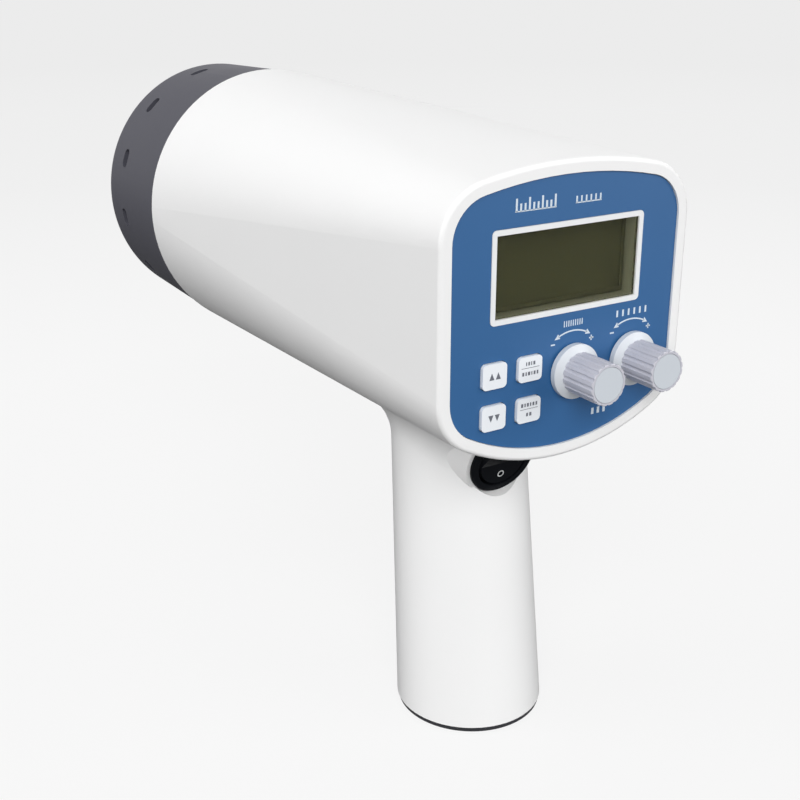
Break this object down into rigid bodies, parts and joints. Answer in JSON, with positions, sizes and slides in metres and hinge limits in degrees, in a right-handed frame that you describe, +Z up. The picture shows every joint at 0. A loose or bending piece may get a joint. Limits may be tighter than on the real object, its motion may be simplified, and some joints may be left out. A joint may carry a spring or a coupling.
{
  "type": "xenon stroboscope",
  "caption": "Hand-held xenon flash stroboscope: round lamp head and tapering barrel with a rear panel of display, keys and knobs, on a leaning pistol grip with a rocker switch.",
  "frame": {"origin": "centre of the foot of the grip, on the plane of the base cap", "axes": "+Y the way the flash points, along the barrel; +X the operator's right; +Z up, from the grip to the barrel"},
  "size_m": [0.098, 0.2415, 0.193],
  "materials": {
    "white_shell": "satin gloss",
    "dark_ring": "fine satin",
    "clear_lens": "clear",
    "seal_rubber": "matt",
    "mirror_metal": "bright polished",
    "plate_metal": "plain",
    "screw_steel": "zinc plated",
    "lamp_ceramic": "white ceramic",
    "tube_glass": "clear quartz",
    "electrode_metal": "bare tungsten",
    "wire_metal": "bare nickel",
    "circuit_board": "green solder mask",
    "coil_black": "potted",
    "panel_blue": "printed film",
    "display_window": "grey-green polarised",
    "module_black": "black",
    "pin_metal": "gold plated",
    "key_white": "satin",
    "pillar_nylon": "natural nylon",
    "pot_metal": "plated",
    "knob_grey": "satin",
    "skirt_white": "satin",
    "switch_black": "satin gloss",
    "cap_dark": "satin",
    "inlet_black": "satin",
    "core_steel": "varnished laminations",
    "coil_tape": "yellow tape",
    "can_sleeve": "dark blue sleeve"
  },
  "bodies": {
    "body": {"housing": "white_shell", "front_ring": "dark_ring", "lens": "clear_lens", "lens_gasket": "seal_rubber", "reflector": "mirror_metal", "lamp_carrier": "plate_metal", "carrier_screws": "screw_steel", "lamp_base": "lamp_ceramic", "flash_tube": "tube_glass", "tube_electrodes": "electrode_metal", "trigger_wire": "wire_metal", "lamp_board": "circuit_board", "trigger_coil": "coil_black", "panel_plate": "plate_metal", "panel_overlay": "panel_blue", "panel_screws": "screw_steel", "display_frame": "white_shell", "display_glass": "display_window", "display_module": "module_black", "display_pins": "pin_metal", "key_switches": "module_black", "control_board": "circuit_board", "board_pillars": "pillar_nylon", "control_screws": "screw_steel", "fine_pot": "pot_metal", "coarse_pot": "pot_metal", "pot_nuts": "screw_steel", "power_switch": "switch_black", "base_cap": "cap_dark", "base_screws": "screw_steel", "power_inlet": "inlet_black", "inlet_blades": "pot_metal", "power_board": "circuit_board", "power_screws": "screw_steel", "transformer_core": "core_steel", "transformer_coil": "coil_tape", "storage_capacitors": "can_sleeve"},
    "fine_control": {"fine_knob": "knob_grey", "fine_skirt": "skirt_white", "fine_shaft": "pot_metal", "fine_knob_cap": "knob_grey"},
    "coarse_control": {"coarse_knob": "knob_grey", "coarse_skirt": "skirt_white", "coarse_shaft": "pot_metal", "coarse_knob_cap": "knob_grey"},
    "double_key": {"key_double": "key_white"},
    "halve_key": {"key_halve": "key_white"},
    "mode_key": {"key_mode": "key_white"},
    "range_key": {"key_range": "key_white"},
    "power_rocker": {"rocker": "switch_black"}
  },
  "joints": [
    {"name": "fine_turn", "type": "hinge", "parent": "body", "child": "fine_control", "pos_m": [0.0029, -0.049, 0.1261], "axis": [0, 1, 0], "range_deg": [-150, 150]},
    {"name": "coarse_turn", "type": "hinge", "parent": "body", "child": "coarse_control", "pos_m": [0.02395, -0.049, 0.1261], "axis": [0, 1, 0], "range_deg": [-150, 150]},
    {"name": "double_press", "type": "slide", "parent": "body", "child": "double_key", "axis": [0, 1, 0], "range_m": [0, 0.0005], "stiffness_N_per_m": 400},
    {"name": "halve_press", "type": "slide", "parent": "body", "child": "halve_key", "axis": [0, 1, 0], "range_m": [0, 0.0005], "stiffness_N_per_m": 400},
    {"name": "mode_press", "type": "slide", "parent": "body", "child": "mode_key", "axis": [0, 1, 0], "range_m": [0, 0.0005], "stiffness_N_per_m": 400},
    {"name": "range_press", "type": "slide", "parent": "body", "child": "range_key", "axis": [0, 1, 0], "range_m": [0, 0.0005], "stiffness_N_per_m": 400},
    {"name": "power_rock", "type": "hinge", "parent": "body", "child": "power_rocker", "pos_m": [0, -0.01238, 0.09065], "axis": [-1, 0, 0], "range_deg": [0, 18]}
  ]
}
